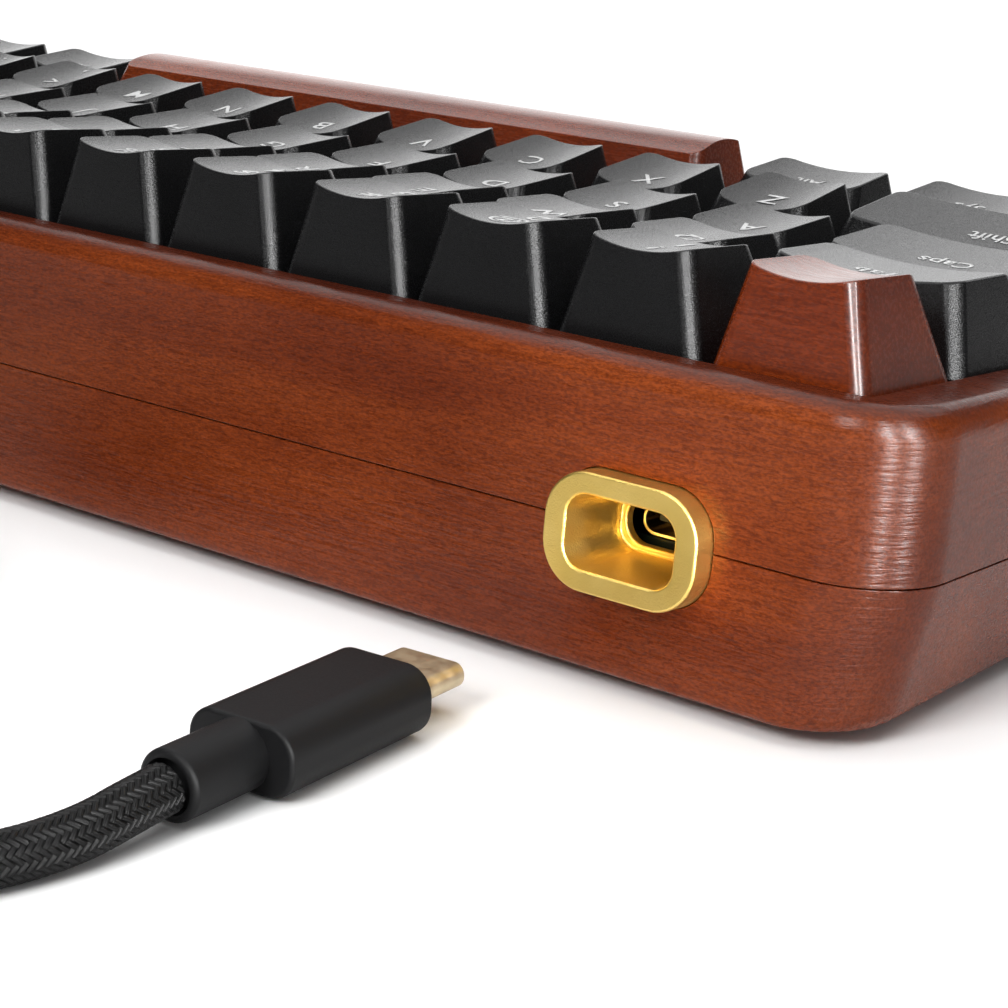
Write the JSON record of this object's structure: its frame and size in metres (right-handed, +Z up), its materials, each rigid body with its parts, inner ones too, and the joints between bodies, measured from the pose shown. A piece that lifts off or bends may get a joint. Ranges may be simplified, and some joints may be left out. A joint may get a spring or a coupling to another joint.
{
  "type": "mechanical keyboard",
  "caption": "Compact wooden-cased mechanical keyboard with sprung travelling keys, a rear cable port with a metal bezel, and its braided cable unplugged behind it.",
  "frame": {"origin": "on the desk, under the middle of the case and its port bezel, the cable left out", "axes": "+X to the typist's right, +Y away from the typist, towards the rear edge with the port, +Z up"},
  "size_m": [0.3032, 0.2048, 0.0439],
  "materials": {
    "wood_case": "satin lacquered reddish-brown hardwood",
    "wood_caps": "glossier lacquered reddish-brown hardwood",
    "cap_plastic": "fine textured black",
    "gold_metal": "fine blasted gold",
    "socket_steel": "plain",
    "plate_metal": "blackened",
    "board": "solder mask",
    "switch_plastic": "moulded",
    "foot_rubber": "matte",
    "plug_overmould": "soft matte black",
    "cord_braid": "braided sleeve"
  },
  "bodies": {
    "case": {"case_top": "wood_case", "case_bottom": "wood_case", "port_bezel": "gold_metal", "usb_socket": "socket_steel", "usb_board": "board", "switch_plate": "plate_metal", "switch_housings": "switch_plastic", "circuit_board": "board", "keys_right": "cap_plastic", "foot_rear": "foot_rubber", "foot_front": "foot_rubber", "plug_c_shell": "gold_metal", "plug_c_body": "plug_overmould", "plug_a_shell": "gold_metal", "plug_a_body": "plug_overmould", "cable_lead": "cord_braid", "cable_coil": "cord_braid", "cable_tail": "cord_braid"},
    "key_esc": {"key_esc": "wood_caps"},
    "key_1": {"key_1": "cap_plastic"},
    "key_2": {"key_2": "cap_plastic"},
    "key_3": {"key_3": "cap_plastic"},
    "key_4": {"key_4": "cap_plastic"},
    "key_5": {"key_5": "cap_plastic"},
    "key_6": {"key_6": "cap_plastic"},
    "key_7": {"key_7": "cap_plastic"},
    "key_tab": {"key_tab": "cap_plastic"},
    "key_q": {"key_q": "cap_plastic"},
    "key_w": {"key_w": "cap_plastic"},
    "key_e": {"key_e": "cap_plastic"},
    "key_r": {"key_r": "cap_plastic"},
    "key_t": {"key_t": "cap_plastic"},
    "key_y": {"key_y": "cap_plastic"},
    "key_u": {"key_u": "cap_plastic"},
    "key_caps": {"key_caps": "cap_plastic"},
    "key_a": {"key_a": "cap_plastic"},
    "key_s": {"key_s": "cap_plastic"},
    "key_d": {"key_d": "cap_plastic"},
    "key_f": {"key_f": "cap_plastic"},
    "key_g": {"key_g": "cap_plastic"},
    "key_h": {"key_h": "cap_plastic"},
    "key_j": {"key_j": "cap_plastic"},
    "key_left_shift": {"key_left_shift": "cap_plastic"},
    "key_z": {"key_z": "cap_plastic"},
    "key_x": {"key_x": "cap_plastic"},
    "key_c": {"key_c": "cap_plastic"},
    "key_v": {"key_v": "cap_plastic"},
    "key_b": {"key_b": "cap_plastic"},
    "key_n": {"key_n": "cap_plastic"},
    "key_m": {"key_m": "cap_plastic"},
    "key_left_ctrl": {"key_left_ctrl": "cap_plastic"},
    "key_super": {"key_super": "cap_plastic"},
    "key_left_alt": {"key_left_alt": "cap_plastic"},
    "key_space": {"key_space": "wood_caps"},
    "key_right_alt": {"key_right_alt": "cap_plastic"},
    "key_fn": {"key_fn": "cap_plastic"},
    "key_menu": {"key_menu": "cap_plastic"},
    "key_right_ctrl": {"key_right_ctrl": "cap_plastic"},
    "stabiliser_space": {"stabiliser_space": "plate_metal"},
    "stabiliser_left_shift": {"stabiliser_left_shift": "plate_metal"}
  },
  "joints": [
    {"name": "press_esc", "type": "slide", "parent": "case", "child": "key_esc", "axis": [0, 0.0698, -0.9976], "range_m": [0, 0.004], "stiffness_N_per_m": 60, "springref_m": -0.0075},
    {"name": "press_1", "type": "slide", "parent": "case", "child": "key_1", "axis": [0, 0.0698, -0.9976], "range_m": [0, 0.004], "stiffness_N_per_m": 60, "springref_m": -0.0075},
    {"name": "press_2", "type": "slide", "parent": "case", "child": "key_2", "axis": [0, 0.0698, -0.9976], "range_m": [0, 0.004], "stiffness_N_per_m": 60, "springref_m": -0.0075},
    {"name": "press_3", "type": "slide", "parent": "case", "child": "key_3", "axis": [0, 0.0698, -0.9976], "range_m": [0, 0.004], "stiffness_N_per_m": 60, "springref_m": -0.0075},
    {"name": "press_4", "type": "slide", "parent": "case", "child": "key_4", "axis": [0, 0.0698, -0.9976], "range_m": [0, 0.004], "stiffness_N_per_m": 60, "springref_m": -0.0075},
    {"name": "press_5", "type": "slide", "parent": "case", "child": "key_5", "axis": [0, 0.0698, -0.9976], "range_m": [0, 0.004], "stiffness_N_per_m": 60, "springref_m": -0.0075},
    {"name": "press_6", "type": "slide", "parent": "case", "child": "key_6", "axis": [0, 0.0698, -0.9976], "range_m": [0, 0.004], "stiffness_N_per_m": 60, "springref_m": -0.0075},
    {"name": "press_7", "type": "slide", "parent": "case", "child": "key_7", "axis": [0, 0.0698, -0.9976], "range_m": [0, 0.004], "stiffness_N_per_m": 60, "springref_m": -0.0075},
    {"name": "press_tab", "type": "slide", "parent": "case", "child": "key_tab", "axis": [0, 0.0698, -0.9976], "range_m": [0, 0.004], "stiffness_N_per_m": 60, "springref_m": -0.0075},
    {"name": "press_q", "type": "slide", "parent": "case", "child": "key_q", "axis": [0, 0.0698, -0.9976], "range_m": [0, 0.004], "stiffness_N_per_m": 60, "springref_m": -0.0075},
    {"name": "press_w", "type": "slide", "parent": "case", "child": "key_w", "axis": [0, 0.0698, -0.9976], "range_m": [0, 0.004], "stiffness_N_per_m": 60, "springref_m": -0.0075},
    {"name": "press_e", "type": "slide", "parent": "case", "child": "key_e", "axis": [0, 0.0698, -0.9976], "range_m": [0, 0.004], "stiffness_N_per_m": 60, "springref_m": -0.0075},
    {"name": "press_r", "type": "slide", "parent": "case", "child": "key_r", "axis": [0, 0.0698, -0.9976], "range_m": [0, 0.004], "stiffness_N_per_m": 60, "springref_m": -0.0075},
    {"name": "press_t", "type": "slide", "parent": "case", "child": "key_t", "axis": [0, 0.0698, -0.9976], "range_m": [0, 0.004], "stiffness_N_per_m": 60, "springref_m": -0.0075},
    {"name": "press_y", "type": "slide", "parent": "case", "child": "key_y", "axis": [0, 0.0698, -0.9976], "range_m": [0, 0.004], "stiffness_N_per_m": 60, "springref_m": -0.0075},
    {"name": "press_u", "type": "slide", "parent": "case", "child": "key_u", "axis": [0, 0.0698, -0.9976], "range_m": [0, 0.004], "stiffness_N_per_m": 60, "springref_m": -0.0075},
    {"name": "press_caps", "type": "slide", "parent": "case", "child": "key_caps", "axis": [0, 0.0698, -0.9976], "range_m": [0, 0.004], "stiffness_N_per_m": 60, "springref_m": -0.0075},
    {"name": "press_a", "type": "slide", "parent": "case", "child": "key_a", "axis": [0, 0.0698, -0.9976], "range_m": [0, 0.004], "stiffness_N_per_m": 60, "springref_m": -0.0075},
    {"name": "press_s", "type": "slide", "parent": "case", "child": "key_s", "axis": [0, 0.0698, -0.9976], "range_m": [0, 0.004], "stiffness_N_per_m": 60, "springref_m": -0.0075},
    {"name": "press_d", "type": "slide", "parent": "case", "child": "key_d", "axis": [0, 0.0698, -0.9976], "range_m": [0, 0.004], "stiffness_N_per_m": 60, "springref_m": -0.0075},
    {"name": "press_f", "type": "slide", "parent": "case", "child": "key_f", "axis": [0, 0.0698, -0.9976], "range_m": [0, 0.004], "stiffness_N_per_m": 60, "springref_m": -0.0075},
    {"name": "press_g", "type": "slide", "parent": "case", "child": "key_g", "axis": [0, 0.0698, -0.9976], "range_m": [0, 0.004], "stiffness_N_per_m": 60, "springref_m": -0.0075},
    {"name": "press_h", "type": "slide", "parent": "case", "child": "key_h", "axis": [0, 0.0698, -0.9976], "range_m": [0, 0.004], "stiffness_N_per_m": 60, "springref_m": -0.0075},
    {"name": "press_j", "type": "slide", "parent": "case", "child": "key_j", "axis": [0, 0.0698, -0.9976], "range_m": [0, 0.004], "stiffness_N_per_m": 60, "springref_m": -0.0075},
    {"name": "press_left_shift", "type": "slide", "parent": "case", "child": "key_left_shift", "axis": [0, 0.0698, -0.9976], "range_m": [0, 0.004], "stiffness_N_per_m": 60, "springref_m": -0.0075},
    {"name": "press_z", "type": "slide", "parent": "case", "child": "key_z", "axis": [0, 0.0698, -0.9976], "range_m": [0, 0.004], "stiffness_N_per_m": 60, "springref_m": -0.0075},
    {"name": "press_x", "type": "slide", "parent": "case", "child": "key_x", "axis": [0, 0.0698, -0.9976], "range_m": [0, 0.004], "stiffness_N_per_m": 60, "springref_m": -0.0075},
    {"name": "press_c", "type": "slide", "parent": "case", "child": "key_c", "axis": [0, 0.0698, -0.9976], "range_m": [0, 0.004], "stiffness_N_per_m": 60, "springref_m": -0.0075},
    {"name": "press_v", "type": "slide", "parent": "case", "child": "key_v", "axis": [0, 0.0698, -0.9976], "range_m": [0, 0.004], "stiffness_N_per_m": 60, "springref_m": -0.0075},
    {"name": "press_b", "type": "slide", "parent": "case", "child": "key_b", "axis": [0, 0.0698, -0.9976], "range_m": [0, 0.004], "stiffness_N_per_m": 60, "springref_m": -0.0075},
    {"name": "press_n", "type": "slide", "parent": "case", "child": "key_n", "axis": [0, 0.0698, -0.9976], "range_m": [0, 0.004], "stiffness_N_per_m": 60, "springref_m": -0.0075},
    {"name": "press_m", "type": "slide", "parent": "case", "child": "key_m", "axis": [0, 0.0698, -0.9976], "range_m": [0, 0.004], "stiffness_N_per_m": 60, "springref_m": -0.0075},
    {"name": "press_left_ctrl", "type": "slide", "parent": "case", "child": "key_left_ctrl", "axis": [0, 0.0698, -0.9976], "range_m": [0, 0.004], "stiffness_N_per_m": 60, "springref_m": -0.0075},
    {"name": "press_super", "type": "slide", "parent": "case", "child": "key_super", "axis": [0, 0.0698, -0.9976], "range_m": [0, 0.004], "stiffness_N_per_m": 60, "springref_m": -0.0075},
    {"name": "press_left_alt", "type": "slide", "parent": "case", "child": "key_left_alt", "axis": [0, 0.0698, -0.9976], "range_m": [0, 0.004], "stiffness_N_per_m": 60, "springref_m": -0.0075},
    {"name": "press_space", "type": "slide", "parent": "case", "child": "key_space", "axis": [0, 0.0698, -0.9976], "range_m": [0, 0.004], "stiffness_N_per_m": 60, "springref_m": -0.0075},
    {"name": "press_right_alt", "type": "slide", "parent": "case", "child": "key_right_alt", "axis": [0, 0.0698, -0.9976], "range_m": [0, 0.004], "stiffness_N_per_m": 60, "springref_m": -0.0075},
    {"name": "press_fn", "type": "slide", "parent": "case", "child": "key_fn", "axis": [0, 0.0698, -0.9976], "range_m": [0, 0.004], "stiffness_N_per_m": 60, "springref_m": -0.0075},
    {"name": "press_menu", "type": "slide", "parent": "case", "child": "key_menu", "axis": [0, 0.0698, -0.9976], "range_m": [0, 0.004], "stiffness_N_per_m": 60, "springref_m": -0.0075},
    {"name": "press_right_ctrl", "type": "slide", "parent": "case", "child": "key_right_ctrl", "axis": [0, 0.0698, -0.9976], "range_m": [0, 0.004], "stiffness_N_per_m": 60, "springref_m": -0.0075},
    {"name": "stabiliser_space_pivot", "type": "hinge", "parent": "case", "child": "stabiliser_space", "pos_m": [-0.01191, -0.0488, 0.02121], "axis": [1, 0, 0], "range_deg": [-26.4, 0]},
    {"name": "stabiliser_left_shift_pivot", "type": "hinge", "parent": "case", "child": "stabiliser_left_shift", "pos_m": [-0.12144, -0.0298, 0.02254], "axis": [1, 0, 0], "range_deg": [-26.4, 0]}
  ],
  "couplings": [
    {"joint": "stabiliser_space_pivot", "follows": "press_space", "rad_per_m": -115.14},
    {"joint": "stabiliser_left_shift_pivot", "follows": "press_left_shift", "rad_per_m": -115.14}
  ]
}
